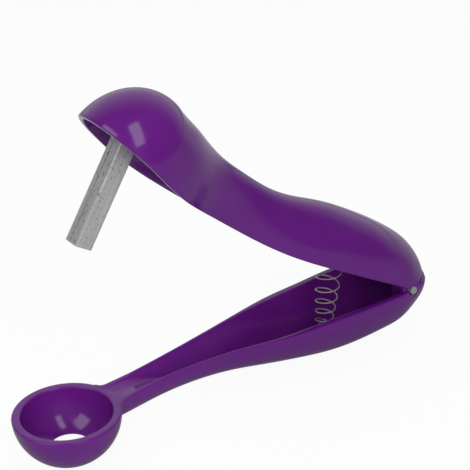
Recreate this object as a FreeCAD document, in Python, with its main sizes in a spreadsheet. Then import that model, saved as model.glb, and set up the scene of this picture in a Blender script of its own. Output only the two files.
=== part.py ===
import FreeCAD, Part

import math
import os
import Sketcher

# A hand-held cherry pitter, drawn standing open on its own.
# Every length is in millimetres and every angle in degrees.
# Both levers are drawn closed about the hinge axis (x = 0, z = 0), with the
# cup towards -X. Each sub-part is then placed in the frame of the object:
# the floor is z = 0 and the middle of the open pitter is x = 0, y = 0.

doc = FreeCAD.newDocument("cherry_pitter")
sheet = doc.addObject("Spreadsheet::Sheet", "Sizes")
next_row = 1


def put(alias, value):
    """Writes one size into the sheet under a plain name."""
    global next_row
    cell = "B{}".format(next_row)
    sheet.set("A{}".format(next_row), alias)
    sheet.set(cell, str(value))
    sheet.setAlias(cell, alias)
    next_row += 1


# Whole object
reach = 136.0            # hinge axis to the middle of the cup
opening = 30.3           # angle between the levers at rest
rim_gap = 0.15           # each handle rim stops this far from the parting line

# Cup at the end of the lower lever
cup_drop = 3.0           # cup rim below the hinge axis
cup_outer = 18.3
cup_wall = 2.9
cup_depth_outer = 18.0
cup_floor = 4.2
cup_hole = 6.6

# Walls of the two moulded shells
lower_wall = 2.7
upper_wall = 2.2
cut_above = 2.0          # hollows run this far past the rim

# Rounded rear end of both levers, from rear_x to the tip
rear_x = -8.0
rear_length = 23.0
rear_half_width = 16.4
rear_depth_lower = 18.7
rear_depth_upper = 16.8

# Handle and neck of each lever run from handle_from to the cup or the dome
handle_from = -17.0
neck_root = 1.8          # the lower neck runs this far into the wall of the cup
belly_depth = 19.5       # of the lower lever under handle_from
belly_swell = 0.23       # the belly bulges this far below that

# Trough of the lower lever where it runs out on the neck
trough_half_6 = 4.2
trough_depth_6 = 5.2
trough_half_7 = 3.5
trough_depth_7 = 1.6
trough_half_8 = 3.4
trough_depth_8 = 0.7
trough_short = 4.0       # the trough ends this far before the neck does

# Dome over the cup
dome_back = 3.9          # its middle stands this far behind the middle of the cup
dome_z = 16.8
dome_tilt = 23.2
dome_radius = 19.7
dome_height = 23.0
dome_neck = 14.1         # last section of the neck, behind the middle of the dome
dome_blend = 4.0         # one more section just behind the middle of the dome
dome_blend_share = 0.985

# Hinge
pin_radius = 1.45
pin_play = 0.05
pin_half_length = 15.7
ear_radius = 3.8
ear_play = 0.3           # between an ear and the lug beside it
ear_width = 2.9
lug_inner = 8.4
lug_outer = 11.6
lug_foot = 9.0
notch_play = 0.15        # the notch for an ear starts this far from the lug
notch_clear = 0.4        # and goes this far round the ear
notch_to = 20.0
rear_cut = 25.0

# Punch
punch_side = 6.6
punch_wall = 0.9
punch_round = 0.6
punch_tilt = 3.0
punch_below = 14.7       # free end below the parting line when closed
punch_length = 47.0
seam_width = 0.3
seam_offset = 0.7
boss_front_wall = 2.7
boss_side_wall = 1.7
boss_from = 24.0         # above the parting line
boss_rear_top = 38.2     # the top of the boss ends inside the wall of the dome
boss_mid_top = 37.5
boss_front_top = 34.8

# Spring and its two seats
spring_x_lower = -29.2
spring_x_upper = -35.1
seat_lower = -14.6
seat_upper = 14.6
seat_lower_radius = 5.0
seat_upper_radius = 5.6
seat_root_lower = 3.0    # each seat runs this far back into its wall
seat_root_upper = 2.9
peg_play = 0.4           # between the narrow end of the coil and the peg in it
peg_length = 4.5
coil_low = 2.7           # the coil is narrower at its lower end
coil_high = 5.3
wire_radius = 0.3
spring_turns = 9.5
spring_lift = 0.6        # clear of the level seat, because the spring leans
spring_drop = 0.02

# Every size named above goes into the sheet under its own name.
for name, value in list(globals().items()):
    if isinstance(value, float):
        put(name, value)

# Sizes that follow from those
FOLLOWING = (
    ("hinge_x", "(reach + cup_outer - rear_x - rear_length) / 2"),
    ("hinge_height", "belly_depth + belly_swell + rim_gap"),
    ("cup_inner", "cup_outer - cup_wall"),
    ("cup_depth_inner", "cup_depth_outer - cup_floor"),
    ("neck_end", "cup_outer - neck_root - reach"),
    ("trough_end", "neck_end + trough_short"),
    ("dome_x", "dome_back - reach"),
    ("dome_neck_end", "dome_x + dome_neck"),
    ("ear_inner", "lug_outer + ear_play"),
    ("ear_outer", "ear_inner + ear_width"),
    ("ear_room", "ear_radius + notch_clear"),
    ("notch_from", "lug_outer + notch_play"),
    ("boss_half_length", "punch_side / 2 + boss_front_wall"),
    ("boss_half_width", "punch_side / 2 + boss_side_wall"),
    ("peg_radius", "coil_low - wire_radius - peg_play"),
)
for name, rule in FOLLOWING:
    put(name, "=" + rule)

# How the sections shrink towards the rear tip: share of the way, then the share of
# the width, of the depth of the lower lever and of the height of the upper one
rear_steps = (
    (0.3, 0.965, 0.967, 0.945),
    (0.55, 0.862, 0.868, 0.815),
    (0.75, 0.7, 0.71, 0.64),
    (0.9, 0.48, 0.49, 0.42),
    (0.975, 0.26, 0.265, 0.22),
)
for number, (step, width_share, depth_share, height_share) in enumerate(rear_steps, 1):
    put("rear_step_{}".format(number), step)
    put("rear_width_{}".format(number), width_share)
    put("rear_depth_{}".format(number), depth_share)
    put("rear_height_{}".format(number), height_share)

# Stations of the lower lever: share of the way to neck_end, rim height, half width, depth
lower_stations = (
    (0.0, 0.0, 16.3, belly_depth),
    (0.1171, 0.0, 15.7, 19.4),
    (0.2537, 0.0, 14.3, 17.4),
    (0.4, 0.0, 11.7, 14.5),
    (0.5463, -0.1, 8.7, 11.4),
    (0.6927, -0.5, 6.5, 9.5),
    (0.839, -1.4, 5.5, 9.1),
    (1.0, -2.85, 6.3, 9.4),
)
for number, (share, rim, half_width, depth) in enumerate(lower_stations, 1):
    put("lower_along_{}".format(number), "=handle_from + {} * (neck_end - handle_from)".format(share))
    put("lower_rim_{}".format(number), rim)
    put("lower_half_{}".format(number), half_width)
    put("lower_depth_{}".format(number), depth)

# Stations of the upper lever: share of the way to dome_neck_end, rim height, tilt,
# half width, height
upper_stations = (
    (0.0, 0.0, 0.0, 16.3, 18.1),
    (0.1188, 0.0, 0.0, 15.8, 19.1),
    (0.2574, 0.0, 0.0, 14.6, 19.4),
    (0.396, 0.2, 2.0, 12.2, 18.4),
    (0.5347, 1.6, 6.0, 9.8, 17.5),
    (0.6832, 4.2, 10.5, 8.4, 17.8),
    (0.8317, 7.2, 14.5, 10.2, 18.9),
    (1.0, 11.6, 17.5, 17.2, 21.7),
)
for number, (share, rim, tilt, half_width, height) in enumerate(upper_stations, 1):
    put("upper_along_{}".format(number), "=handle_from + {} * (dome_neck_end - handle_from)".format(share))
    put("upper_rim_{}".format(number), rim)
    put("upper_tilt_{}".format(number), tilt)
    put("upper_half_{}".format(number), half_width)
    put("upper_height_{}".format(number), height)

doc.recompute()


def body_named(name):
    body = doc.addObject("PartDesign::Body", name)
    body.Label = name
    return body


def origin_feature(body, role):
    for feature in body.Origin.OriginFeatures:
        if feature.Role == role:
            return feature
    raise ValueError(role)


def sketch_on(body, role, name, offset=(None, None, None), tilt=None, tilt_axis=(1, 0, 0)):
    """A sketch on one of the body's own planes, moved and tilted by sheet values."""
    sketch = body.newObject("Sketcher::SketchObject", name)
    sketch.AttachmentSupport = [(origin_feature(body, role), "")]
    sketch.MapMode = "FlatFace"
    if tilt:
        turn = FreeCAD.Rotation(FreeCAD.Vector(*tilt_axis), 1.0)
        sketch.AttachmentOffset = FreeCAD.Placement(FreeCAD.Vector(), turn)
        sketch.setExpression("AttachmentOffset.Rotation.Angle", tilt)
    for axis, value in zip("xyz", offset):
        if value:
            sketch.setExpression("AttachmentOffset.Base." + axis, value)
    doc.recompute()
    return sketch


def number_of(expression):
    """Value of an expression made of sheet aliases, for drawing its first shape."""
    value = sheet.evalExpression(expression)
    return float(getattr(value, "Value", value))


def bind(sketch, constraint, expression):
    sketch.setExpression("Constraints[{}]".format(constraint), expression)


def ellipse_arc(sketch, half_width, depth, side, quarter=False):
    """Half of an ellipse about the sketch origin, above or below it, or its quarter on the +x side."""
    wide = number_of(half_width)
    deep = number_of(depth)
    origin = FreeCAD.Vector(0, 0, 0)
    tip = FreeCAD.Vector(0, side * deep, 0)
    edge = FreeCAD.Vector(-side * wide, 0, 0)
    if wide > deep:
        curve = Part.Ellipse(FreeCAD.Vector(side * wide, 0, 0), tip, origin)
        start = 0.0
    else:
        curve = Part.Ellipse(tip, edge, origin)
        start = -math.pi / 2
    span = math.pi / 2 if quarter else math.pi
    if quarter and side < 0:
        start += math.pi / 2
    arc = sketch.addGeometry(Part.ArcOfEllipse(curve, start, start + span))
    sketch.exposeInternalGeometry(arc)
    major, minor = arc + 1, arc + 2
    across, upright = (major, minor) if wide > deep else (minor, major)
    sketch.addConstraint(Sketcher.Constraint("Coincident", arc, 3, -1, 1))
    sketch.addConstraint(Sketcher.Constraint("Horizontal", across))
    length = sketch.addConstraint(Sketcher.Constraint("Distance", across, 2 * wide))
    bind(sketch, length, "2 * ({})".format(half_width))
    length = sketch.addConstraint(Sketcher.Constraint("Distance", upright, 2 * deep))
    bind(sketch, length, "2 * ({})".format(depth))
    return arc


def line(sketch, x0, y0, x1, y1):
    start = FreeCAD.Vector(x0, y0, 0)
    end = FreeCAD.Vector(x1, y1, 0)
    return sketch.addGeometry(Part.LineSegment(start, end))


def join(sketch, *pairs):
    for one, one_end, other, other_end in pairs:
        sketch.addConstraint(Sketcher.Constraint("Coincident", one, one_end, other, other_end))


def shell_section(sketch, half_width, depth, side, lip=None):
    """Closed outline of one station: half an ellipse, with straight sides past the rim."""
    arc = ellipse_arc(sketch, half_width, depth, side)
    wide = number_of(half_width)
    sketch.addConstraint(Sketcher.Constraint("PointOnObject", arc, 1, -1))
    sketch.addConstraint(Sketcher.Constraint("PointOnObject", arc, 2, -1))
    start_x = side * wide
    if lip is None:
        rim = line(sketch, -start_x, 0, start_x, 0)
        join(sketch, (arc, 2, rim, 1), (rim, 2, arc, 1))
        return
    past = -side * number_of(lip)
    rise = line(sketch, -start_x, 0, -start_x, past)
    across = line(sketch, -start_x, past, start_x, past)
    fall = line(sketch, start_x, past, start_x, 0)
    join(sketch, (arc, 2, rise, 1), (rise, 2, across, 1), (across, 2, fall, 1), (fall, 2, arc, 1))
    sketch.addConstraint(Sketcher.Constraint("Vertical", rise))
    sketch.addConstraint(Sketcher.Constraint("Vertical", fall))
    sketch.addConstraint(Sketcher.Constraint("Horizontal", across))
    length = sketch.addConstraint(Sketcher.Constraint("Distance", rise, abs(past)))
    bind(sketch, length, lip)


def end_section(sketch, half_width, depth, lip=None):
    """The +x half of a section above its rim, to be turned about its upright."""
    arc = ellipse_arc(sketch, half_width, depth, 1, True)
    wide = number_of(half_width)
    sketch.addConstraint(Sketcher.Constraint("PointOnObject", arc, 1, -1))
    sketch.addConstraint(Sketcher.Constraint("PointOnObject", arc, 2, -2))
    past = 0.0 if lip is None else -number_of(lip)
    upright = line(sketch, 0, number_of(depth), 0, past)
    across = line(sketch, 0, past, wide, past)
    join(sketch, (arc, 2, upright, 1), (upright, 2, across, 1))
    sketch.addConstraint(Sketcher.Constraint("Vertical", upright))
    sketch.addConstraint(Sketcher.Constraint("Horizontal", across))
    if lip is None:
        join(sketch, (across, 2, arc, 1))
        return
    fall = line(sketch, wide, past, wide, 0)
    join(sketch, (across, 2, fall, 1), (fall, 2, arc, 1))
    sketch.addConstraint(Sketcher.Constraint("Vertical", fall))
    length = sketch.addConstraint(Sketcher.Constraint("Distance", fall, -past))
    bind(sketch, length, lip)


def loft(body, kind, name, sketches):
    feature = body.newObject("PartDesign::" + kind, name)
    feature.Profile = sketches[0]
    feature.Sections = sketches[1:]
    feature.Ruled = False
    body.Tip = feature
    doc.recompute()
    return feature


def turn(body, kind, name, sketch, angle, reverse=False):
    feature = body.newObject("PartDesign::" + kind, name)
    feature.Profile = sketch
    feature.ReferenceAxis = (sketch, ["V_Axis"])
    feature.Angle = angle
    feature.Reversed = reverse
    body.Tip = feature
    doc.recompute()
    return feature


def pocket(body, name, sketch, length, both_sides=True):
    feature = body.newObject("PartDesign::Pocket", name)
    feature.Profile = sketch
    feature.Midplane = both_sides
    feature.setExpression("Length", length)
    body.Tip = feature
    doc.recompute()
    return feature


def circle(sketch, radius, along="0"):
    """A circle of a sheet radius, centred on the sketch's x axis."""
    size = number_of(radius)
    centre = FreeCAD.Vector(number_of(along), 0, 0)
    ring = sketch.addGeometry(Part.Circle(centre, FreeCAD.Vector(0, 0, 1), size))
    bind(sketch, sketch.addConstraint(Sketcher.Constraint("Radius", ring, size)), radius)
    if along == "0":
        sketch.addConstraint(Sketcher.Constraint("Coincident", ring, 3, -1, 1))
        return
    sketch.addConstraint(Sketcher.Constraint("PointOnObject", ring, 3, -1))
    away = sketch.addConstraint(Sketcher.Constraint("DistanceX", -1, 1, ring, 3, centre.x))
    bind(sketch, away, along)


def pad(body, name, sketch, length):
    feature = body.newObject("PartDesign::Pad", name)
    feature.Profile = sketch
    feature.setExpression("Length", length)
    body.Tip = feature
    doc.recompute()
    return feature


def outline(sketch, points):
    """A closed outline of straight lines, each corner fixed from the sketch origin by sheet values."""
    places = [(number_of(x), number_of(y)) for x, y in points]
    lines = []
    for number, (x, y) in enumerate(places):
        next_x, next_y = places[(number + 1) % len(places)]
        lines.append(line(sketch, x, y, next_x, next_y))
    for number, one in enumerate(lines):
        join(sketch, (one, 2, lines[(number + 1) % len(lines)], 1))
    for one, (x, y), (x_value, y_value) in zip(lines, points, places):
        for kind, expression, value in (("DistanceX", x, x_value), ("DistanceY", y, y_value)):
            constraint = sketch.addConstraint(Sketcher.Constraint(kind, -1, 1, one, 1, value))
            bind(sketch, constraint, expression)


# Lower lever: handle, neck and cup in one moulding, open at the top.
LOWER = "lower_lever"
lower = body_named(LOWER)
count = len(lower_stations)


def lower_sketch(name, along, rim):
    return sketch_on(lower, "YZ_Plane", name, (None, rim, along))


def lower_row(prefix, wall, lip):
    """Sections of the lower lever from the neck to the tip of its rear end."""
    row = []
    for number in range(count, 0, -1):
        along = "Sizes.lower_along_{}".format(number)
        rim = "Sizes.lower_rim_{} - Sizes.rim_gap".format(number)
        half_width = "Sizes.lower_half_{}{}".format(number, wall)
        depth = "Sizes.lower_depth_{}{}".format(number, wall)
        if wall and number >= 6:
            half_width = "Sizes.trough_half_{}".format(number)
            depth = "Sizes.trough_depth_{}".format(number)
        if wall and number == count:
            along = "Sizes.trough_end"
        station = lower_sketch(prefix + str(number), along, rim)
        shell_section(station, half_width, depth, -1, lip)
        row.append(station)
    row += rear_row(lower_sketch, prefix, "-Sizes.rim_gap", "Sizes.rear_depth_lower", -1, wall, lip)
    return row


def tip_point(sketch):
    spot = sketch.addGeometry(Part.Point(FreeCAD.Vector(0, 0, 0)))
    sketch.addConstraint(Sketcher.Constraint("Coincident", spot, 1, -1, 1))
    doc.recompute()


def rear_row(draw, prefix, rim, depth, side, wall, lip):
    """Sections shrinking to the tip of the rear end."""
    row = []
    length = "(Sizes.rear_length{})".format(wall)
    half_width = "(Sizes.rear_half_width{})".format(wall)
    depth = "({}{})".format(depth, wall)
    first = draw(prefix + "Rear", "Sizes.rear_x", rim)
    shell_section(first, half_width, depth, side, lip)
    row.append(first)
    for number in range(1, len(rear_steps) + 1):
        along = "Sizes.rear_x + Sizes.rear_step_{} * {}".format(number, length)
        width_share = "Sizes.rear_width_{} * ".format(number)
        depth_share = "Sizes.rear_{}_{} * ".format("depth" if side < 0 else "height", number)
        station = draw("{}Rear{}".format(prefix, number), along, rim)
        shell_section(station, width_share + half_width, depth_share + depth, side, lip)
        row.append(station)
    if lip is None:
        tip = draw(prefix + "RearTip", "Sizes.rear_x + " + length, rim)
        tip_point(tip)
        row.append(tip)
    return row


loft(lower, "AdditiveLoft", "LowerHandle", lower_row("LowerOuter", "", None))


def cup_sketch(name):
    return sketch_on(lower, "YZ_Plane", name, (None, "-Sizes.cup_drop", "-Sizes.reach"))


def cup_section(sketch, radius, depth, lip=None):
    """Outline of the cup from its hole outwards, to be turned about the upright axis."""
    wide = number_of(radius)
    deep = number_of(depth)
    hole = number_of("Sizes.cup_hole")
    origin = FreeCAD.Vector(0, 0, 0)
    curve = Part.Ellipse(FreeCAD.Vector(wide, 0, 0), FreeCAD.Vector(0, deep, 0), origin)
    start = -math.acos(hole / wide)
    arc = sketch.addGeometry(Part.ArcOfEllipse(curve, start, 0.0))
    sketch.exposeInternalGeometry(arc)
    across, upright = arc + 1, arc + 2
    foot = -deep * math.sqrt(1 - (hole / wide) ** 2)
    past = 0.0 if lip is None else number_of(lip)
    sketch.addConstraint(Sketcher.Constraint("Coincident", arc, 3, -1, 1))
    sketch.addConstraint(Sketcher.Constraint("Horizontal", across))
    bind(sketch, sketch.addConstraint(Sketcher.Constraint("Distance", across, 2 * wide)), "2 * " + radius)
    bind(sketch, sketch.addConstraint(Sketcher.Constraint("Distance", upright, 2 * deep)), "2 * " + depth)
    sketch.addConstraint(Sketcher.Constraint("PointOnObject", arc, 2, -1))
    hole_at = sketch.addConstraint(Sketcher.Constraint("DistanceX", -1, 1, arc, 1, hole))
    bind(sketch, hole_at, "Sizes.cup_hole")
    bore = line(sketch, hole, foot, hole, past)
    rim = line(sketch, hole, past, wide, past)
    join(sketch, (arc, 1, bore, 1), (bore, 2, rim, 1))
    sketch.addConstraint(Sketcher.Constraint("Vertical", bore))
    sketch.addConstraint(Sketcher.Constraint("Horizontal", rim))
    if lip is None:
        join(sketch, (rim, 2, arc, 2))
        return
    fall = line(sketch, wide, past, wide, 0)
    join(sketch, (rim, 2, fall, 1), (fall, 2, arc, 2))
    sketch.addConstraint(Sketcher.Constraint("Vertical", fall))
    bind(sketch, sketch.addConstraint(Sketcher.Constraint("Distance", fall, past)), lip)


cup = cup_sketch("CupOutline")
cup_section(cup, "Sizes.cup_outer", "Sizes.cup_depth_outer")
turn(lower, "Revolution", "CupOuter", cup, 360.0)
loft(lower, "SubtractiveLoft", "Trough", lower_row("Trough", " - Sizes.lower_wall", "Sizes.cut_above"))
cup = cup_sketch("CupHollowOutline")
cup_section(cup, "Sizes.cup_inner", "Sizes.cup_depth_inner", "Sizes.cut_above")
turn(lower, "Groove", "CupHollow", cup, 360.0)


def side_sketch(body, name, offset):
    """A sketch on the upright plane along the lever, moved sideways."""
    return sketch_on(body, "XZ_Plane", name, (None, None, offset))


# Two lugs inside the trough carry the hinge pin.
def lug_outline(sketch):
    radius = number_of("Sizes.ear_radius")
    foot = number_of("Sizes.lug_foot")
    up = FreeCAD.Vector(0, 0, 1)
    crown = Part.ArcOfCircle(Part.Circle(FreeCAD.Vector(0, 0, 0), up, radius), 0.0, math.pi)
    top = sketch.addGeometry(crown)
    left = line(sketch, -radius, 0, -radius, -foot)
    base = line(sketch, -radius, -foot, radius, -foot)
    right = line(sketch, radius, -foot, radius, 0)
    join(sketch, (top, 2, left, 1), (left, 2, base, 1), (base, 2, right, 1), (right, 2, top, 1))
    sketch.addConstraint(Sketcher.Constraint("Coincident", top, 3, -1, 1))
    sketch.addConstraint(Sketcher.Constraint("PointOnObject", top, 1, -1))
    sketch.addConstraint(Sketcher.Constraint("PointOnObject", top, 2, -1))
    sketch.addConstraint(Sketcher.Constraint("Vertical", left))
    sketch.addConstraint(Sketcher.Constraint("Vertical", right))
    sketch.addConstraint(Sketcher.Constraint("Horizontal", base))
    bind(sketch, sketch.addConstraint(Sketcher.Constraint("Radius", top, radius)), "Sizes.ear_radius")
    bind(sketch, sketch.addConstraint(Sketcher.Constraint("Distance", left, foot)), "Sizes.lug_foot")


for side, offset in (("Near", "Sizes.lug_inner"), ("Far", "-Sizes.lug_outer")):
    lug = side_sketch(lower, "LugOutline" + side, offset)
    lug_outline(lug)
    pad(lower, "Lug" + side, lug, "Sizes.lug_outer - Sizes.lug_inner")

for side, offset in (("Near", "Sizes.notch_from"), ("Far", "-Sizes.notch_to")):
    notch = side_sketch(lower, "NotchOutline" + side, offset)
    circle(notch, "Sizes.ear_room")
    feature = pocket(lower, "Notch" + side, notch, "Sizes.notch_to - Sizes.notch_from", False)
    feature.Reversed = True
    doc.recompute()

bore = side_sketch(lower, "PinBoreOutline", None)
circle(bore, "Sizes.pin_radius + Sizes.pin_play")
pocket(lower, "PinBore", bore, "2 * Sizes.notch_to")


def seat_sketch(body, name, along, level):
    return sketch_on(body, "XZ_Plane", name, (along, level, None))


def seat_outline(sketch, radius, peg_end, root_end):
    """A flat round seat with a peg in its middle, one side of its upright."""
    outline(sketch, (
        ("0", peg_end),
        ("Sizes.peg_radius", peg_end),
        ("Sizes.peg_radius", "0"),
        (radius, "0"),
        (radius, root_end),
        ("0", root_end),
    ))


seat = seat_sketch(lower, "LowerSeatOutline", "Sizes.spring_x_lower", "Sizes.seat_lower")
seat_outline(seat, "Sizes.seat_lower_radius", "Sizes.peg_length", "-Sizes.seat_root_lower")
turn(lower, "Revolution", "LowerSeat", seat, 360.0)

# Upper lever: handle, arched neck and dome in one moulding, open underneath.
UPPER = "upper_lever"
upper = body_named(UPPER)
count = len(upper_stations)


def upper_sketch(name, along, rim, tilt=None):
    return sketch_on(upper, "YZ_Plane", name, (None, rim, along), tilt)


def dome_station(prefix, wall, lip, step, share, draw=shell_section):
    """A section of the dome, step being how far in front of its middle it stands."""
    along = "Sizes.dome_x - ({}) * cos(Sizes.dome_tilt)".format(step)
    rim = "Sizes.dome_z + ({}) * sin(Sizes.dome_tilt)".format(step)
    station = upper_sketch(prefix, along, rim, "Sizes.dome_tilt")
    radius = "{}(Sizes.dome_radius{})".format(share, wall)
    height = "{}(Sizes.dome_height{})".format(share, wall)
    if draw is end_section:
        end_section(station, radius, height, lip)
    else:
        shell_section(station, radius, height, 1, lip)
    return station


def upper_row(prefix, wall, lip):
    """Sections of the upper lever from the tip of its rear end to the middle of the dome."""
    row = [
        dome_station(prefix + "Dome", wall, lip, "0", ""),
        dome_station(prefix + "DomeBlend", wall, lip, "-Sizes.dome_blend", "Sizes.dome_blend_share * "),
    ]
    for number in range(count, 0, -1):
        tilt = "Sizes.upper_tilt_{}".format(number) if number > 3 else None
        rim = "Sizes.upper_rim_{} + Sizes.rim_gap".format(number)
        station = upper_sketch(prefix + str(number), "Sizes.upper_along_{}".format(number), rim, tilt)
        half_width = "Sizes.upper_half_{}{}".format(number, wall)
        height = "Sizes.upper_height_{}{}".format(number, wall)
        shell_section(station, half_width, height, 1, lip)
        row.append(station)
    row += rear_row(upper_sketch, prefix, "Sizes.rim_gap", "Sizes.rear_depth_upper", 1, wall, lip)
    row.reverse()
    return row


def dome_end(kind, prefix, wall, lip):
    """The front half of the dome, turned about its upright."""
    section = dome_station(prefix + "DomeEndOutline", wall, lip, "0", "", end_section)
    turn(upper, kind, prefix + "DomeEnd", section, 180.0)


loft(upper, "AdditiveLoft", "UpperHandle", upper_row("UpperOuter", "", None))
dome_end("Revolution", "UpperOuter", "", None)
INNER = " - Sizes.upper_wall"
loft(upper, "SubtractiveLoft", "UpperHollow", upper_row("UpperInner", INNER, "Sizes.cut_above"))
dome_end("Groove", "UpperInner", INNER, "Sizes.cut_above")

# Behind the hinge the rim slopes up, and lies along the lower rim when open.
wedge = side_sketch(upper, "RearRimOutline", None)
wide = number_of("Sizes.rear_cut")
steep = number_of("Sizes.rear_cut * tan(Sizes.opening)")
below = line(wedge, 0, -wide / 10, wide, -wide / 10)
back = line(wedge, wide, -wide / 10, wide, steep)
slope = line(wedge, wide, steep, 0, 0)
front = line(wedge, 0, 0, 0, -wide / 10)
join(wedge, (below, 2, back, 1), (back, 2, slope, 1), (slope, 2, front, 1), (front, 2, below, 1))
wedge.addConstraint(Sketcher.Constraint("Horizontal", below))
wedge.addConstraint(Sketcher.Constraint("Vertical", back))
wedge.addConstraint(Sketcher.Constraint("Vertical", front))
wedge.addConstraint(Sketcher.Constraint("PointOnObject", front, 1, -2))
length = wedge.addConstraint(Sketcher.Constraint("Distance", below, wide))
bind(wedge, length, "Sizes.rear_cut")
length = wedge.addConstraint(Sketcher.Constraint("DistanceY", below, 1, -1, 1, wide / 10))
bind(wedge, length, "Sizes.rear_cut / 10")
gap = wedge.addConstraint(Sketcher.Constraint("DistanceY", -1, 1, front, 1, number_of("Sizes.rim_gap")))
bind(wedge, gap, "Sizes.rim_gap / cos(Sizes.opening)")
angle = math.radians(number_of("Sizes.opening"))
tilt = wedge.addConstraint(Sketcher.Constraint("Angle", below, 1, slope, 2, angle))
bind(wedge, tilt, "Sizes.opening")
pocket(upper, "RearRim", wedge, "2 * Sizes.rear_cut")

for side, offset in (("Near", "Sizes.ear_inner"), ("Far", "-Sizes.ear_outer")):
    ear = side_sketch(upper, "EarOutline" + side, offset)
    circle(ear, "Sizes.ear_radius")
    pad(upper, "Ear" + side, ear, "Sizes.ear_outer - Sizes.ear_inner")
bore = side_sketch(upper, "UpperPinBoreOutline", None)
circle(bore, "Sizes.pin_radius + Sizes.pin_play")
pocket(upper, "UpperPinBore", bore, "2 * Sizes.notch_to")

seat = seat_sketch(upper, "UpperSeatOutline", "Sizes.spring_x_upper", "Sizes.seat_upper")
seat_outline(seat, "Sizes.seat_upper_radius", "-Sizes.peg_length", "Sizes.seat_root_upper")
turn(upper, "Revolution", "UpperSeat", seat, 360.0)

# The punch is held in a block under the top of the dome.
foot = ("-Sizes.reach", None, None)
boss = sketch_on(upper, "XZ_Plane", "BossOutline", foot, "-Sizes.punch_tilt", (0, 0, 1))
outline(boss, (
    ("-Sizes.boss_half_length", "Sizes.boss_from"),
    ("Sizes.boss_half_length", "Sizes.boss_from"),
    ("Sizes.boss_half_length", "Sizes.boss_rear_top"),
    ("0", "Sizes.boss_mid_top"),
    ("-Sizes.boss_half_length", "Sizes.boss_front_top"),
))
block = pad(upper, "Boss", boss, "2 * Sizes.boss_half_width")
block.Midplane = True
doc.recompute()


def square(sketch, side):
    """A square about the sketch origin."""
    half = "({}) / 2".format(side)
    outline(sketch, (("-" + half, "-" + half), (half, "-" + half), (half, half), ("-" + half, half)))


def punch_sketch(body, name, level):
    """A sketch across the punch axis, level being how far up that axis it lies."""
    along = "-Sizes.reach + ({}) * sin(Sizes.punch_tilt)".format(level)
    height = "({}) * cos(Sizes.punch_tilt)".format(level)
    return sketch_on(body, "XY_Plane", name, (along, None, height), "Sizes.punch_tilt", (0, 1, 0))


socket = punch_sketch(upper, "SocketOutline", "Sizes.boss_from - Sizes.cut_above")
square(socket, "Sizes.punch_side")
deep = "Sizes.punch_length - Sizes.punch_below - Sizes.boss_from + Sizes.cut_above"
feature = pocket(upper, "Socket", socket, deep, False)
feature.Reversed = True
doc.recompute()

# The punch is a square tube folded from sheet, its seam along the front face.
PUNCH = "punch"
punch = body_named(PUNCH)
blank = punch_sketch(punch, "PunchOutline", "-Sizes.punch_below")
square(blank, "Sizes.punch_side")
bar = pad(punch, "PunchBar", blank, "Sizes.punch_length")
corners = []
for number, edge in enumerate(bar.Shape.Edges, 1):
    if abs(edge.Length - number_of("Sizes.punch_length")) < 0.01:
        corners.append("Edge{}".format(number))
rounded = punch.newObject("PartDesign::Fillet", "PunchCorners")
rounded.Base = (bar, corners)
rounded.setExpression("Radius", "Sizes.punch_round")
punch.Tip = rounded
doc.recompute()
hollow = punch_sketch(punch, "PunchHollowOutline", "-Sizes.punch_below - Sizes.cut_above")
square(hollow, "Sizes.punch_side - 2 * Sizes.punch_wall")
feature = pocket(punch, "PunchHollow", hollow, "Sizes.punch_length + 2 * Sizes.cut_above", False)
feature.Reversed = True
doc.recompute()
seam = punch_sketch(punch, "SeamOutline", "-Sizes.punch_below - Sizes.cut_above")
seam_from = "-Sizes.punch_side / 2 - Sizes.cut_above"
seam_to = "-Sizes.punch_side / 2 + 1.5 * Sizes.punch_wall"
seam_low = "Sizes.seam_offset - Sizes.seam_width / 2"
seam_high = "Sizes.seam_offset + Sizes.seam_width / 2"
outline(seam, ((seam_from, seam_low), (seam_to, seam_low), (seam_to, seam_high), (seam_from, seam_high)))
feature = pocket(punch, "Seam", seam, "Sizes.punch_length + 2 * Sizes.cut_above", False)
feature.Reversed = True
doc.recompute()

# Hinge pin
PIN = "hinge_pin"
pin = body_named(PIN)
round_end = sketch_on(pin, "XZ_Plane", "PinOutline")
circle(round_end, "Sizes.pin_radius")
shaft = pad(pin, "PinShaft", round_end, "2 * Sizes.pin_half_length")
shaft.Midplane = True
doc.recompute()

# Return spring, one wire wound about the line between its two seats
SPRING = "return_spring"
spring = body_named(SPRING)
wire = sketch_on(spring, "XZ_Plane", "WireOutline")
circle(wire, "Sizes.wire_radius", "Sizes.coil_low")
low = "(Sizes.seat_lower + Sizes.wire_radius + Sizes.spring_lift)"
top_reach = "(Sizes.seat_upper - Sizes.wire_radius - Sizes.spring_drop)"
top_x = "Sizes.spring_x_upper * cos(Sizes.opening) + {} * sin(Sizes.opening)".format(top_reach)
top_z = "{} * cos(Sizes.opening) - Sizes.spring_x_upper * sin(Sizes.opening)".format(top_reach)
run = "({} - Sizes.spring_x_lower)".format(top_x)
climb = "({} - {})".format(top_z, low)
coil = spring.newObject("PartDesign::AdditiveHelix", "Coil")
coil.Profile = wire
coil.ReferenceAxis = (wire, ["V_Axis"])
coil.Mode = "height-turns-angle"
coil.setExpression("Turns", "Sizes.spring_turns")
length = "sqrt({0} * {0} + {1} * {1})".format(run, climb)
coil.setExpression("Height", length)
coil.setExpression("Angle", "atan((Sizes.coil_high - Sizes.coil_low) / {})".format(length))
spring.Tip = coil
doc.recompute()

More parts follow.
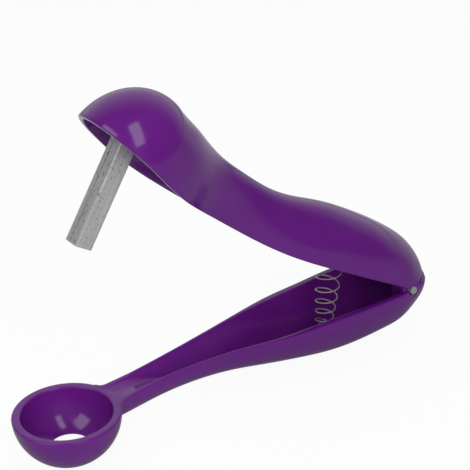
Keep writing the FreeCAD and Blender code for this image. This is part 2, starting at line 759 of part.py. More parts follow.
# Places in the frame of the object: the lower lever stands level, the upper one is open.
for body in (lower, pin):
    body.setExpression("Placement.Base.x", "Sizes.hinge_x")
    body.setExpression("Placement.Base.z", "Sizes.hinge_height")
for body in (upper, punch):
    body.Placement = FreeCAD.Placement(FreeCAD.Vector(), FreeCAD.Rotation(FreeCAD.Vector(0, 1, 0), 1.0))
    body.setExpression("Placement.Rotation.Angle", "Sizes.opening")
    body.setExpression("Placement.Base.x", "Sizes.hinge_x")
    body.setExpression("Placement.Base.z", "Sizes.hinge_height")
spring.Placement = FreeCAD.Placement(FreeCAD.Vector(), FreeCAD.Rotation(FreeCAD.Vector(0, 1, 0), 1.0))
spring.setExpression("Placement.Rotation.Angle", "atan2({}; {})".format(run, climb))
spring.setExpression("Placement.Base.x", "Sizes.hinge_x + Sizes.spring_x_lower")
spring.setExpression("Placement.Base.z", "Sizes.hinge_height + " + low)
doc.recompute()

PARTS = (lower, upper, punch, pin, spring)
for thing in doc.Objects:
    state = [word for word in thing.State if word in ("Invalid", "Error")]
    if state:
        raise RuntimeError("{} is {}".format(thing.Name, state))
for body in PARTS:
    shape = body.Shape
    if shape.isNull() or not shape.isValid() or len(shape.Solids) != 1:
        raise RuntimeError("{} is not one sound solid".format(body.Label))

os.makedirs("parts", exist_ok=True)
for body in PARTS:
    body.Shape.exportStep("parts/{}.step".format(body.Label))
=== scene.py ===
import math

import bmesh
import bpy
import numpy as np
from mathutils import Matrix, Vector


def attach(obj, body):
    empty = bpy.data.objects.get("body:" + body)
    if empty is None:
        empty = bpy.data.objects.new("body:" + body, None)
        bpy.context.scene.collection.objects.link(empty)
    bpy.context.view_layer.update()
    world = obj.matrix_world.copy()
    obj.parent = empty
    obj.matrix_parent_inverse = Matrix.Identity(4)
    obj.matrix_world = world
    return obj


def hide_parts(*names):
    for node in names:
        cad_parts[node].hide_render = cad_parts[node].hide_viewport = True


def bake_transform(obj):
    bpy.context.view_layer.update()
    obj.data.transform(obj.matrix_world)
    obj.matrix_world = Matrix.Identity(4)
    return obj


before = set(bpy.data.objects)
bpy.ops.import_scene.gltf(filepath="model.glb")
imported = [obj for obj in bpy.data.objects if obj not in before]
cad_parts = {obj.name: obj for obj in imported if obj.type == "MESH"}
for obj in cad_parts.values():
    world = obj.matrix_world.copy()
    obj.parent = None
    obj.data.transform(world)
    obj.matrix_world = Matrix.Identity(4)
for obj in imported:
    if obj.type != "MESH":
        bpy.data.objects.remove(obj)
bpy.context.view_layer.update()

# The levers are worked out closed, in millimetres about the hinge axis, with the
# cup towards -X, and then put in their places in the frame, in metres.
MM = 0.001
HINGE = Vector((69.65, 0.0, 19.88))
OPENING = math.radians(30.3)
LOWER_PLACE = Matrix.Scale(MM, 4) @ Matrix.Translation(HINGE)
UPPER_PLACE = LOWER_PLACE @ Matrix.Rotation(OPENING, 4, "Y")

REACH = 136.0
RIM_GAP = 0.15
LOWER_WALL = 2.7
UPPER_WALL = 2.2
LIP_ROUND = 0.55

# Stations of the lower lever: along, rim height, half width, depth
LOWER_STATIONS = (
    (-119.5, -2.95, 6.3, 9.4),
    (-103.0, -1.0, 5.8, 9.4),
    (-88.0, -0.1, 7.0, 9.8),
    (-73.0, 0.2, 9.3, 11.4),
    (-58.0, 0.0, 12.4, 14.1),
    (-43.0, 0.0, 14.8, 17.1),
    (-29.0, 0.0, 15.6, 19.4),
    (-17.0, 0.0, 16.3, 19.5),
)
# From here the neck follows the round of the cup, and it ends inside the wall of the cup,
# at a share of its outer size and no lower than a share of its inner depth
NECK_BEND_FROM = -108.0
NECK_INTO = 0.9
NECK_REACH_DOWN = 0.9
NECK_FILLET = 2.2
TROUGH_LEAST = 0.02
# Stations of the trough where it runs out on the neck in a groove with flowing sides:
# along, half width, depth, leanness
TROUGH_RUN_OUT = (
    (-119.5, 5.2, 0.0, 1.5),
    (-111.0, 4.9, 1.2, 1.5),
    (-100.0, 4.9, 4.0, 1.5),
    (-88.0, 6.0, 6.9, 1.6),
    (-73.0, 8.1, 9.1, 1.6),
    (-58.0, 10.8, 11.7, 1.3),
)

# Stations of the upper lever: along, rim height, tilt in degrees, half width, height
DOME_X = -132.1
DOME_Z = 16.8
DOME_TILT = 23.2
DOME_RADIUS = 19.7
DOME_HEIGHT = 23.0
DOME_BLEND = 4.0
DOME_BLEND_SHARE = 0.985
UPPER_STATIONS = (
    (-118.0, 11.4, 17.5, 17.2, 22.1),
    (-101.0, 7.2, 14.5, 10.2, 18.9),
    (-86.0, 4.2, 10.5, 8.4, 17.8),
    (-71.0, 1.6, 6.0, 9.8, 17.5),
    (-57.0, 0.2, 2.0, 12.2, 18.4),
    (-43.0, 0.0, 0.0, 14.6, 19.4),
    (-29.0, 0.0, 0.0, 15.8, 19.1),
    (-17.0, 0.0, 0.0, 16.3, 18.1),
)

# Rear end of both levers: where it starts, its length, its largest half width and
# depths, and the shares of the way, width, lower depth and upper height
REAR_X = -8.0
REAR_LENGTH = 22.5
REAR_HALF_WIDTH = 16.4
REAR_DEPTH_LOWER = 19.2
REAR_DEPTH_UPPER = 16.8
REAR_STEPS = (
    (0.0, 1.0, 1.0, 1.0),
    (0.3, 0.975, 0.966, 0.91),
    (0.55, 0.876, 0.835, 0.789),
    (0.75, 0.745, 0.665, 0.642),
    (0.9, 0.44, 0.48, 0.42),
    (0.975, 0.215, 0.25, 0.22),
    (1.0, 0.0, 0.0, 0.0),
)
# Towards the rear the sections grow leaner than an ellipse, so the rims meet in a corner
LEAN_FROM = -0.35
LEAN_LOWER = 0.1
LEAN_UPPER = 0.37

# Cup
CUP_DROP = 3.0
CUP_OUTER = 18.3
CUP_INNER = 15.4
CUP_DEPTH_OUTER = 18.0
CUP_DEPTH_INNER = 14.6
CUP_HOLE = 6.7
# The hole flares out under the cup
CUP_HOLE_BELOW = 10.0

# Hinge, seats and boss
PIN_RADIUS = 1.45
PIN_PLAY = 0.05
EAR_RADIUS = 3.8
EAR_INNER = 11.9
EAR_OUTER = 14.8
LUG_INNER = 8.4
LUG_OUTER = 11.6
LUG_FOOT = 9.0
EAR_ROOM = 4.2
NOTCH_FROM = 11.75
NOTCH_TO = 20.0
SPRING_X_LOWER = -29.2
SPRING_X_UPPER = -35.1
SEAT_LOWER = -14.6
SEAT_UPPER = 14.6
SEAT_RADIUS_LOWER = 5.0
SEAT_RADIUS_UPPER = 5.6
SEAT_ROOT_LOWER = 3.0
SEAT_ROOT_UPPER = 2.9
PEG_RADIUS = 2.0
PEG_LENGTH = 4.5
PEG_CHAMFER = 0.5
PIN_HALF_LENGTH = 16.6
PIN_EDGE = 0.25
# Hole for the end of the pin in the outer skin
PIN_ROOM = 2.0
SKIN_FROM = 15.0
HOLE_OVERLAP = 1.0

# Block under the dome that holds the punch
PUNCH_SIDE = 6.6
PUNCH_TILT = 3.0
BOSS_HALF_LENGTH = 6.0
BOSS_HALF_WIDTH = 5.0
BOSS_FROM = 24.0
BOSS_TOPS = (38.2, 37.5, 34.8)
SOCKET_FROM = 22.0
SOCKET_TO = 32.4
SOCKET_PLAY = 0.04

# Fineness of the meshes, in points and steps
ROWS = 230
ACROSS = 26
LIP_STEPS = 5
FINE_STEPS = 4000
FRONT_SECTIONS = 40
CUP_STEPS = 30
LUG_STEPS = 24
ROD_SEGMENTS = 48
SEAT_SEGMENTS = 64
CUP_SEGMENTS = 128
EVEN_SHARE = 0.35
LIP_SHARE = 0.35
MERGE_WITHIN = 1e-4
EDGE_LEAST = 1e-5
SHARP_DEGREES = 32
# Sizes are kept from zero by these
SMALL = 1e-6
TINY = 1e-9


def spline(knots, rows, wanted):
    """Natural cubic spline through rows at knots, read at the wanted places."""
    knots = np.asarray(knots, float)
    rows = np.asarray(rows, float)
    count = len(knots)
    step = np.diff(knots)
    matrix = np.eye(count)
    right = np.zeros_like(rows)
    for n in range(1, count - 1):
        matrix[n, n - 1:n + 2] = step[n - 1], 2 * (step[n - 1] + step[n]), step[n]
        right[n] = 6 * ((rows[n + 1] - rows[n]) / step[n] - (rows[n] - rows[n - 1]) / step[n - 1])
    bend = np.linalg.solve(matrix, right)
    wanted = np.clip(wanted, knots[0], knots[-1])
    n = np.clip(np.searchsorted(knots, wanted, side="right") - 1, 0, count - 2)
    h = step[n][:, None]
    low = (knots[n + 1] - wanted)[:, None]
    high = (wanted - knots[n])[:, None]
    return (
        bend[n] * low ** 3 / (6 * h)
        + bend[n + 1] * high ** 3 / (6 * h)
        + (rows[n] / h - bend[n] * h / 6) * low
        + (rows[n + 1] / h - bend[n + 1] * h / 6) * high
    )


def along_knots(rows):
    """Distance along a row of stations, so that round ends stay round."""
    rows = np.asarray(rows, float)
    gaps = np.linalg.norm(np.diff(rows[:, [0, 3, 4]], axis=0), axis=1)
    return np.concatenate([[0.0], np.cumsum(gaps)])


def lean(x, most):
    """How lean the section at x is: 1 for an ellipse, more towards the rear."""
    way = (x - REAR_X) / REAR_LENGTH
    return 1.0 + most * min(1.0, max(0.0, way - LEAN_FROM))


def rear_rows(depth, column, wall, most):
    """Stations of the rear end, as along, rim, tilt, half width, depth, leanness."""
    rows = []
    for step in REAR_STEPS:
        x = REAR_X + step[0] * (REAR_LENGTH - wall)
        half_width = step[1] * (REAR_HALF_WIDTH - wall)
        rows.append((x, 0.0, 0.0, half_width, step[column] * (depth - wall), lean(x, most)))
    return rows


def shares(count):
    """Shares of the way from 0 to 1, closer together at both ends."""
    even = np.linspace(0.0, 1.0, count)
    return EVEN_SHARE * even + (1 - EVEN_SHARE) * (1 - np.cos(math.pi * even)) / 2


def dense(rows, count):
    """Rows read off a spline through the stations."""
    knots = along_knots(rows)
    return spline(knots, rows, shares(count) * knots[-1])


def side_points(row, start, side):
    """Points of one half section from its ridge down to the level start above its rim."""
    along, rim, tilt, half_width, height, power = row
    tilt = math.radians(tilt)
    share = min(1.0, max(0.0, start / height)) if height > SMALL else 1.0
    angles = np.linspace(math.pi / 2, math.asin(share ** (1 / power)), ACROSS)
    up = height * np.sin(angles) ** power
    out = half_width * np.maximum(np.cos(angles), 0.0) ** power
    return np.stack([
        along + side * up * math.sin(tilt),
        out,
        rim + side * up * math.cos(tilt),
    ], axis=1)


def shell_half(outer, inner, side, levels_outer, levels_inner, front_outer=None, front_inner=None):
    """One half of an open shell as a grid: ridge, outside, rounded lip, inside, ridge.

    side is 1 for a shell that opens downwards and -1 for one that opens upwards.
    levels are how far above its rim each section starts, for a sloping rim.
    """
    outside = []
    inside = []
    rounds = []
    for row, level, inner_row, inner_level in zip(outer, levels_outer, inner, levels_inner):
        room = min(row[4] - level, inner_row[4] - inner_level)
        lip = max(0.0, min(LIP_ROUND, LIP_SHARE * room))
        rounds.append(lip)
        outside.append(side_points(row, level + lip, side))
        inside.append(side_points(inner_row, inner_level + lip, side)[::-1])
    if front_outer is not None:
        outside = list(front_outer) + outside[1:]
        inside = [points[::-1] for points in front_inner] + inside[1:]
        rounds = [LIP_ROUND] * len(front_outer) + rounds[1:]
    outside = np.array(outside)
    inside = np.array(inside)
    rounds = np.array(rounds)[:, None]
    rim = outside[:, -1]
    tangent = np.gradient(rim, axis=0)
    across = inside[:, 0] - rim
    tangent /= np.maximum(np.linalg.norm(tangent, axis=1), TINY)[:, None]
    inward = across - tangent * np.sum(across * tangent, axis=1)[:, None]
    inward /= np.maximum(np.linalg.norm(inward, axis=1), TINY)[:, None]
    past = np.cross(tangent, inward)
    past *= np.sign(past[:, 2:3]) * -side
    lip_out = []
    lip_in = []
    for number in range(1, LIP_STEPS + 1):
        angle = number / LIP_STEPS * math.pi / 2
        lip_out.append(rim + rounds * ((1 - math.cos(angle)) * inward + math.sin(angle) * past))
        lip_in.append(inside[:, 0] - rounds * ((1 - math.cos(angle)) * inward - math.sin(angle) * past))
    columns = [outside[:, n] for n in range(ACROSS)]
    columns += lip_out
    columns += lip_in[::-1]
    columns += [inside[:, n] for n in range(ACROSS)]
    return np.stack(columns, axis=1)


def clean(work):
    """Merges points that lie together, and turns all faces outwards."""
    bmesh.ops.remove_doubles(work, verts=work.verts, dist=MERGE_WITHIN)
    bmesh.ops.dissolve_degenerate(work, edges=work.edges, dist=EDGE_LEAST)
    bmesh.ops.recalc_face_normals(work, faces=work.faces)


def mesh_of(name, work):
    """The finished mesh of some mesh work, which ends here."""
    mesh = bpy.data.meshes.new(name)
    work.to_mesh(mesh)
    work.free()
    return mesh


def mesh_from_half(name, grid, cap=False):
    """A closed mesh from one half grid and its mirror image across y = 0."""
    work = bmesh.new()
    for mirror in (1, -1):
        verts = [[work.verts.new((x, mirror * y, z)) for x, y, z in row] for row in grid]
        for a, b in zip(verts, verts[1:]):
            for n in range(len(a) - 1):
                corners = (a[n], a[n + 1], b[n + 1], b[n])
                work.faces.new(corners if mirror > 0 else corners[::-1])
    clean(work)
    if cap:
        edges = [edge for edge in work.edges if edge.is_boundary]
        bmesh.ops.holes_fill(work, edges=edges, sides=0)
        bmesh.ops.recalc_face_normals(work, faces=work.faces)
    return mesh_of(name, work)


def object_of(name, mesh):
    made = bpy.data.objects.new(name, mesh)
    bpy.context.scene.collection.objects.link(made)
    return made


def turned(name, profile, centre, segments, axis="Z"):
    """A closed ring or disc made by turning a profile of (radius, height) about an upright."""
    work = bmesh.new()
    rings = []
    for number in range(segments):
        angle = 2 * math.pi * number / segments
        ring = []
        for radius, height in profile:
            ring.append(work.verts.new((radius * math.cos(angle), radius * math.sin(angle), height)))
        rings.append(ring)
    for number in range(segments):
        a = rings[number]
        b = rings[(number + 1) % segments]
        for n in range(len(profile)):
            m = (n + 1) % len(profile)
            work.faces.new((a[n], b[n], b[m], a[m]))
    clean(work)
    if axis == "Y":
        over = Matrix.Rotation(math.pi / 2, 3, "X")
        bmesh.ops.rotate(work, cent=(0, 0, 0), matrix=over, verts=work.verts)
    bmesh.ops.translate(work, vec=centre, verts=work.verts)
    return object_of(name, mesh_of(name, work))


def rod(name, radius, y_from, y_to, segments=ROD_SEGMENTS):
    """A round rod along Y about the hinge axis, between two places across the lever."""
    half_length = abs(y_to - y_from) / 2
    middle = (y_to + y_from) / 2
    profile = ((0.0, -half_length), (radius, -half_length), (radius, half_length), (0.0, half_length))
    return turned(name, profile, (0, middle, 0), segments, "Y")


def prism(name, outline, y_from, y_to):
    """A plate with an outline of (x, z) points, between two places across the lever."""
    work = bmesh.new()
    near = [work.verts.new((x, y_from, z)) for x, z in outline]
    far = [work.verts.new((x, y_to, z)) for x, z in outline]
    work.faces.new(near)
    work.faces.new(far[::-1])
    count = len(outline)
    for n in range(count):
        m = (n + 1) % count
        work.faces.new((near[n], near[m], far[m], far[n]))
    bmesh.ops.recalc_face_normals(work, faces=work.faces)
    return object_of(name, mesh_of(name, work))


def joined(base, tool, operation):
    """Joins a tool to the base or cuts it out, and removes the tool."""
    modifier = base.modifiers.new("join", "BOOLEAN")
    modifier.operation = operation
    modifier.solver = "EXACT"
    modifier.object = tool
    ready = base.evaluated_get(bpy.context.evaluated_depsgraph_get())
    mesh = bpy.data.meshes.new_from_object(ready)
    base.modifiers.remove(modifier)
    old = base.data
    base.data = mesh
    bpy.data.meshes.remove(old)
    used = tool.data
    bpy.data.objects.remove(tool)
    bpy.data.meshes.remove(used)


def finish_mesh(obj, place):
    """Puts a finished piece in its place and shades it smooth between its sharp edges."""
    obj.data.transform(place)
    for face in obj.data.polygons:
        face.use_smooth = True
    obj.data.set_sharp_from_angle(angle=math.radians(SHARP_DEGREES))
    obj.data.update()


# Lower lever
outer_rows = [(x, rim, 0.0, wide, deep, 1.0) for x, rim, wide, deep in LOWER_STATIONS]
inner_rows = [(x, 0.0, 0.0, wide, deep, power) for x, wide, deep, power in TROUGH_RUN_OUT]
for x, rim, wide, deep in LOWER_STATIONS:
    if x > TROUGH_RUN_OUT[-1][0]:
        inner_rows.append((x, rim, 0.0, wide - LOWER_WALL, deep - LOWER_WALL, 1.0))
outer_rows += rear_rows(REAR_DEPTH_LOWER, 2, 0.0, LEAN_LOWER)
inner_rows += rear_rows(REAR_DEPTH_LOWER, 2, LOWER_WALL, LEAN_LOWER)


def cup_side(points, share):
    """How far along the lever a share of the cup's outside lies, beside each point."""
    below = np.clip(points[:, :, 2] + CUP_DROP, -NECK_REACH_DOWN * CUP_DEPTH_INNER, 0.0)
    radius = share * CUP_OUTER * np.sqrt(1 - (below / (share * CUP_DEPTH_OUTER)) ** 2)
    return -REACH + np.sqrt(np.maximum(radius ** 2 - points[:, :, 1] ** 2, 0.0))


def into_cup(grid):
    """Ends the neck inside the wall of the cup, and rounds the corner between them."""
    neck = grid[:, 0, 0] < NECK_BEND_FROM
    end = grid[0, 0, 0]
    points = grid[neck]
    way = (NECK_BEND_FROM - points[:, :, 0]) / (NECK_BEND_FROM - end)
    points[:, :, 0] += (cup_side(points, NECK_INTO) - end) * way
    room = np.clip(points[:, :, 0] - cup_side(points, 1.0), 0.0, NECK_FILLET)
    flare = NECK_FILLET - np.sqrt(NECK_FILLET ** 2 - (NECK_FILLET - room) ** 2)
    skin = slice(0, ACROSS + LIP_STEPS)
    aside = points[:, skin, 1]
    down = np.minimum(points[:, skin, 2] - points[:, ACROSS:ACROSS + 1, 2], 0.0)
    size = np.maximum(np.hypot(aside, down), SMALL)
    points[:, skin, 1] += flare[:, skin] * aside / size
    points[:, skin, 2] += flare[:, skin] * down / size
    too_deep = cup_side(points[:1], NECK_INTO) - points[:1, :, 0]
    points[:, :, 0] += np.minimum(too_deep, 0.0) * way ** 2
    grid[neck] = points
    return grid


def lower_half():
    outer = dense(outer_rows, ROWS)
    inner = dense(inner_rows, ROWS)
    for row in (outer, inner):
        row[:, 1] -= RIM_GAP
        row[:, 3:5] = np.maximum(row[:, 3:5], 0.0)
    inner[:, 1] = np.interp(inner[:, 0], outer[:, 0], outer[:, 1])
    inner[:, 4] = np.maximum(inner[:, 4], TROUGH_LEAST * (1 - np.linspace(0, 1, ROWS)))
    zero = np.zeros(ROWS)
    return into_cup(shell_half(outer, inner, -1, zero, zero))


lower = object_of("lower_lever_shell", mesh_from_half("lower_lever_shell", lower_half(), cap=True))


def ellipse_profile(radius, depth, first, last, count):
    """Points of an upright ellipse between two radii, below its centre."""
    points = []
    for share in np.linspace(0.0, 1.0, count):
        start = math.acos(first / radius)
        end = math.acos(min(1.0, last / radius))
        angle = start + (end - start) * share
        points.append((radius * math.cos(angle), -depth * math.sin(angle)))
    return points


def lip_arc(radius, sign, rising):
    """A rounded corner of the cup's rim, from the wall to the top or back."""
    points = []
    for number in range(1, LIP_STEPS):
        angle = number / LIP_STEPS * math.pi / 2
        inward = sign * LIP_ROUND * (1 - math.cos(angle))
        points.append((radius - inward, -LIP_ROUND * (1 - math.sin(angle))))
    return points if rising else points[::-1]


def cup_profile():
    """Outline of the cup's wall, from the hole up the outside and down the inside."""
    outside = ellipse_profile(CUP_OUTER, CUP_DEPTH_OUTER, CUP_HOLE_BELOW, CUP_OUTER, CUP_STEPS)
    inside = ellipse_profile(CUP_INNER, CUP_DEPTH_INNER, CUP_HOLE, CUP_INNER, CUP_STEPS)
    points = [point for point in outside if point[1] < -LIP_ROUND]
    points += [(CUP_OUTER, -LIP_ROUND)] + lip_arc(CUP_OUTER, 1, True) + [(CUP_OUTER - LIP_ROUND, 0.0)]
    points += [(CUP_INNER + LIP_ROUND, 0.0)] + lip_arc(CUP_INNER, -1, False) + [(CUP_INNER, -LIP_ROUND)]
    return points + [point for point in inside if point[1] < -LIP_ROUND][::-1]


cup = turned("cup", cup_profile(), (-REACH, 0, -CUP_DROP), CUP_SEGMENTS)
joined(lower, cup, "UNION")

lug_crown = []
for number in range(LUG_STEPS + 1):
    angle = math.pi * number / LUG_STEPS
    lug_crown.append((EAR_RADIUS * math.cos(angle), EAR_RADIUS * math.sin(angle)))
lug_outline = lug_crown + [(-EAR_RADIUS, -LUG_FOOT), (EAR_RADIUS, -LUG_FOOT)]
for sign in (1, -1):
    lug = prism("lug", lug_outline, sign * LUG_INNER, sign * LUG_OUTER)
    joined(lower, lug, "UNION")
    notch = rod("notch", EAR_ROOM, sign * NOTCH_FROM, sign * SKIN_FROM)
    joined(lower, notch, "DIFFERENCE")
    hole = rod("hole", PIN_ROOM, sign * (SKIN_FROM - HOLE_OVERLAP), sign * NOTCH_TO)
    joined(lower, hole, "DIFFERENCE")
joined(lower, rod("bore", PIN_RADIUS + PIN_PLAY, -NOTCH_TO, NOTCH_TO), "DIFFERENCE")


def seat_of_spring(radius, root, side, x, z):
    """Peg and seat of the spring, with the edge of the peg taken off."""
    profile = (
        (0.0, side * PEG_LENGTH),
        (PEG_RADIUS - PEG_CHAMFER, side * PEG_LENGTH),
        (PEG_RADIUS, side * (PEG_LENGTH - PEG_CHAMFER)),
        (PEG_RADIUS, 0.0),
        (radius, 0.0),
        (radius, -side * root),
        (0.0, -side * root),
    )
    return turned("seat", profile, (x, 0, z), SEAT_SEGMENTS)


seat = seat_of_spring(SEAT_RADIUS_LOWER, SEAT_ROOT_LOWER, 1, SPRING_X_LOWER, SEAT_LOWER)
joined(lower, seat, "UNION")
finish_mesh(lower, LOWER_PLACE)
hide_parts("lower_lever")
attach(lower, "lower_body")


# Upper lever
def upper_rows(wall):
    """Stations of the upper lever from the middle of its dome to its rear end."""
    tilt = math.radians(DOME_TILT)
    rows = []
    for step, share in ((0.0, 1.0), (DOME_BLEND, DOME_BLEND_SHARE)):
        x = DOME_X + step * math.cos(tilt)
        rim = DOME_Z - step * math.sin(tilt)
        rows.append((x, rim, DOME_TILT, share * (DOME_RADIUS - wall), share * (DOME_HEIGHT - wall), 1.0))
    for x, rim, lean_back, wide, high in UPPER_STATIONS:
        rows.append((x, rim, lean_back, wide - wall, high - wall, 1.0))
    return rows + rear_rows(REAR_DEPTH_UPPER, 3, wall, LEAN_UPPER)


def dome_front(wall, lip):
    """Sections of the front half of the dome, from its nose round to its middle."""
    tilt = math.radians(DOME_TILT)
    centre = np.array((DOME_X, 0.0, DOME_Z + RIM_GAP))
    ahead = np.array((-math.cos(tilt), 0.0, math.sin(tilt)))
    aside = np.array((0.0, 1.0, 0.0))
    up = np.array((math.sin(tilt), 0.0, math.cos(tilt)))
    radius = DOME_RADIUS - wall
    height = DOME_HEIGHT - wall
    angles = np.linspace(math.pi / 2, math.asin(lip / height), ACROSS)
    sections = []
    for heading in np.linspace(0.0, math.pi / 2, FRONT_SECTIONS):
        out = math.cos(heading) * ahead + math.sin(heading) * aside
        points = centre + np.outer(radius * np.cos(angles), out) + np.outer(height * np.sin(angles), up)
        sections.append(points)
    return sections


def cut_rows(rows, slope):
    """Rows up to where the sloping rear rim meets the ridge, and the levels of that rim."""
    knots = along_knots(rows)
    places = np.linspace(0, knots[-1], FINE_STEPS)
    fine = spline(knots, rows, places)
    over = fine[:, 4] - np.maximum(fine[:, 0], 0.0) * slope
    end = places[np.argmax(over < 0.0)]
    picked = spline(knots, rows, shares(ROWS) * end)
    picked[:, 1] += RIM_GAP
    levels = np.maximum(picked[:, 0], 0.0) * slope
    levels[-1] = picked[-1, 4]
    return picked, levels


def upper_half():
    slope = math.tan(OPENING)
    outer, outer_levels = cut_rows(upper_rows(0.0), slope)
    inner, inner_levels = cut_rows(upper_rows(UPPER_WALL), slope)
    fronts = (dome_front(0.0, LIP_ROUND), dome_front(UPPER_WALL, LIP_ROUND))
    return shell_half(outer, inner, 1, outer_levels, inner_levels, *fronts)


upper = object_of("upper_lever_shell", mesh_from_half("upper_lever_shell", upper_half()))
for sign in (1, -1):
    ear = rod("ear", EAR_RADIUS, sign * EAR_INNER, sign * EAR_OUTER, SEAT_SEGMENTS)
    joined(upper, ear, "UNION")
joined(upper, rod("bore", PIN_RADIUS + PIN_PLAY, -NOTCH_TO, NOTCH_TO), "DIFFERENCE")
for sign in (1, -1):
    hole = rod("hole", PIN_ROOM, sign * SKIN_FROM, sign * NOTCH_TO)
    joined(upper, hole, "DIFFERENCE")
seat = seat_of_spring(SEAT_RADIUS_UPPER, SEAT_ROOT_UPPER, -1, SPRING_X_UPPER, SEAT_UPPER)
joined(upper, seat, "UNION")
punch_place = Matrix.Translation((-REACH, 0, 0)) @ Matrix.Rotation(math.radians(PUNCH_TILT), 4, "Y")
boss_outline = (
    (-BOSS_HALF_LENGTH, BOSS_FROM),
    (BOSS_HALF_LENGTH, BOSS_FROM),
    (BOSS_HALF_LENGTH, BOSS_TOPS[0]),
    (0.0, BOSS_TOPS[1]),
    (-BOSS_HALF_LENGTH, BOSS_TOPS[2]),
)
boss = prism("boss", boss_outline, -BOSS_HALF_WIDTH, BOSS_HALF_WIDTH)
boss.data.transform(punch_place)
joined(upper, boss, "UNION")
socket_half = PUNCH_SIDE / 2 + SOCKET_PLAY
socket_outline = (
    (-socket_half, SOCKET_FROM),
    (socket_half, SOCKET_FROM),
    (socket_half, SOCKET_TO),
    (-socket_half, SOCKET_TO),
)
socket = prism("socket", socket_outline, -socket_half, socket_half)
socket.data.transform(punch_place)
joined(upper, socket, "DIFFERENCE")
finish_mesh(upper, UPPER_PLACE)
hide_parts("upper_lever")
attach(upper, "upper_body")


# Materials: colours between which each one varies, roughness, grain and specks
PLASTIC_COLOURS = ((0.35, (0.098, 0.0072, 0.164)), (0.65, (0.108, 0.0088, 0.18)))
PLASTIC_ROUGHNESS = (0.1, 0.16)
PLASTIC_CLOUD = 60.0
PLASTIC_GRAIN = 900.0
PLASTIC_IOR = 1.5
PLASTIC_BUMP = (0.04, 0.0002)
STEEL_ROUGHNESS = (0.28, 0.45)
STEEL_METALLIC = 0.65
STEEL_BUMP = (0.15, 0.0001)
FINE_DETAIL = 2.0
STREAK_FROM = 0.3
STREAK_TO = 0.7
SPECK_SHADES = ((0.3, (0.5, 0.5, 0.5)), (0.42, (1, 1, 1)))


def material(name):
    made = bpy.data.materials.new(name)
    made.use_nodes = True
    return made, made.node_tree.nodes, made.node_tree.links


def noise(nodes, links, place, scale, detail=3.0):
    """A noise texture read at the given coordinates."""
    made = nodes.new("ShaderNodeTexNoise")
    made.inputs["Scale"].default_value = scale
    made.inputs["Detail"].default_value = detail
    links.new(place, made.inputs["Vector"])
    return made.outputs["Fac"]


def ramp(nodes, links, value, stops):
    """Colours picked by a value, stops being (place, colour) pairs."""
    made = nodes.new("ShaderNodeValToRGB")
    for stop, (place, colour) in zip(made.color_ramp.elements, stops):
        stop.position = place
        stop.color = (*colour, 1.0)
    links.new(value, made.inputs["Fac"])
    return made.outputs["Color"]


def stretch(nodes, links, value, low, high):
    """A value between 0 and 1 brought between two others."""
    made = nodes.new("ShaderNodeMapRange")
    made.inputs["To Min"].default_value = low
    made.inputs["To Max"].default_value = high
    links.new(value, made.inputs["Value"])
    return made.outputs["Result"]


def rough_skin(nodes, links, height, strength, distance):
    made = nodes.new("ShaderNodeBump")
    made.inputs["Strength"].default_value = strength
    made.inputs["Distance"].default_value = distance
    links.new(height, made.inputs["Height"])
    links.new(made.outputs["Normal"], nodes["Principled BSDF"].inputs["Normal"])


def plastic():
    """Moulded purple plastic, semi-gloss, with a faint cloud in its colour and gloss."""
    made, nodes, links = material("purple_plastic")
    shader = nodes["Principled BSDF"]
    place = nodes.new("ShaderNodeTexCoord").outputs["Object"]
    cloud = noise(nodes, links, place, PLASTIC_CLOUD)
    links.new(ramp(nodes, links, cloud, PLASTIC_COLOURS), shader.inputs["Base Color"])
    links.new(stretch(nodes, links, cloud, *PLASTIC_ROUGHNESS), shader.inputs["Roughness"])
    grain = noise(nodes, links, place, PLASTIC_GRAIN, FINE_DETAIL)
    rough_skin(nodes, links, grain, *PLASTIC_BUMP)
    shader.inputs["IOR"].default_value = PLASTIC_IOR
    return made


def steel(name, dark, light, turn, grain, specks):
    """Bright steel, brushed along its own length, with small dark specks in the finish."""
    made, nodes, links = material(name)
    shader = nodes["Principled BSDF"]
    place = nodes.new("ShaderNodeTexCoord").outputs["Object"]
    along = nodes.new("ShaderNodeMapping")
    along.inputs["Rotation"].default_value = (0.0, turn, 0.0)
    links.new(place, along.inputs["Vector"])
    brush = nodes.new("ShaderNodeMapping")
    brush.inputs["Scale"].default_value = grain
    links.new(along.outputs["Vector"], brush.inputs["Vector"])
    streak = noise(nodes, links, brush.outputs["Vector"], 1.0)
    spot = noise(nodes, links, place, specks, FINE_DETAIL)
    mix = nodes.new("ShaderNodeMix")
    mix.data_type = "RGBA"
    mix.blend_type = "MULTIPLY"
    mix.inputs["Factor"].default_value = 1.0
    brushed = ramp(nodes, links, streak, ((STREAK_FROM, dark), (STREAK_TO, light)))
    links.new(brushed, mix.inputs["A"])
    links.new(ramp(nodes, links, spot, SPECK_SHADES), mix.inputs["B"])
    links.new(mix.outputs["Result"], shader.inputs["Base Color"])
    links.new(stretch(nodes, links, streak, *STEEL_ROUGHNESS), shader.inputs["Roughness"])
    rough_skin(nodes, links, streak, *STEEL_BUMP)
    shader.inputs["Metallic"].default_value = STEEL_METALLIC
    return made


PURPLE = plastic()
PUNCH_STEEL = steel(
    "punch_steel",
    dark=(0.5, 0.5, 0.51),
    light=(0.66, 0.66, 0.67),
    turn=-OPENING - math.radians(PUNCH_TILT),
    grain=(2600.0, 2600.0, 60.0),
    specks=900.0,
)
PIN_STEEL = steel(
    "pin_steel",
    dark=(0.36, 0.37, 0.36),
    light=(0.52, 0.53, 0.52),
    turn=0.0,
    grain=(900.0, 300.0, 900.0),
    specks=1500.0,
)
WIRE_STEEL = steel(
    "wire_steel",
    dark=(0.42, 0.36, 0.35),
    light=(0.78, 0.7, 0.68),
    turn=0.0,
    grain=(1500.0, 1500.0, 1500.0),
    specks=1200.0,
)
for piece in (lower, upper):
    piece.data.materials.clear()
    piece.data.materials.append(PURPLE)

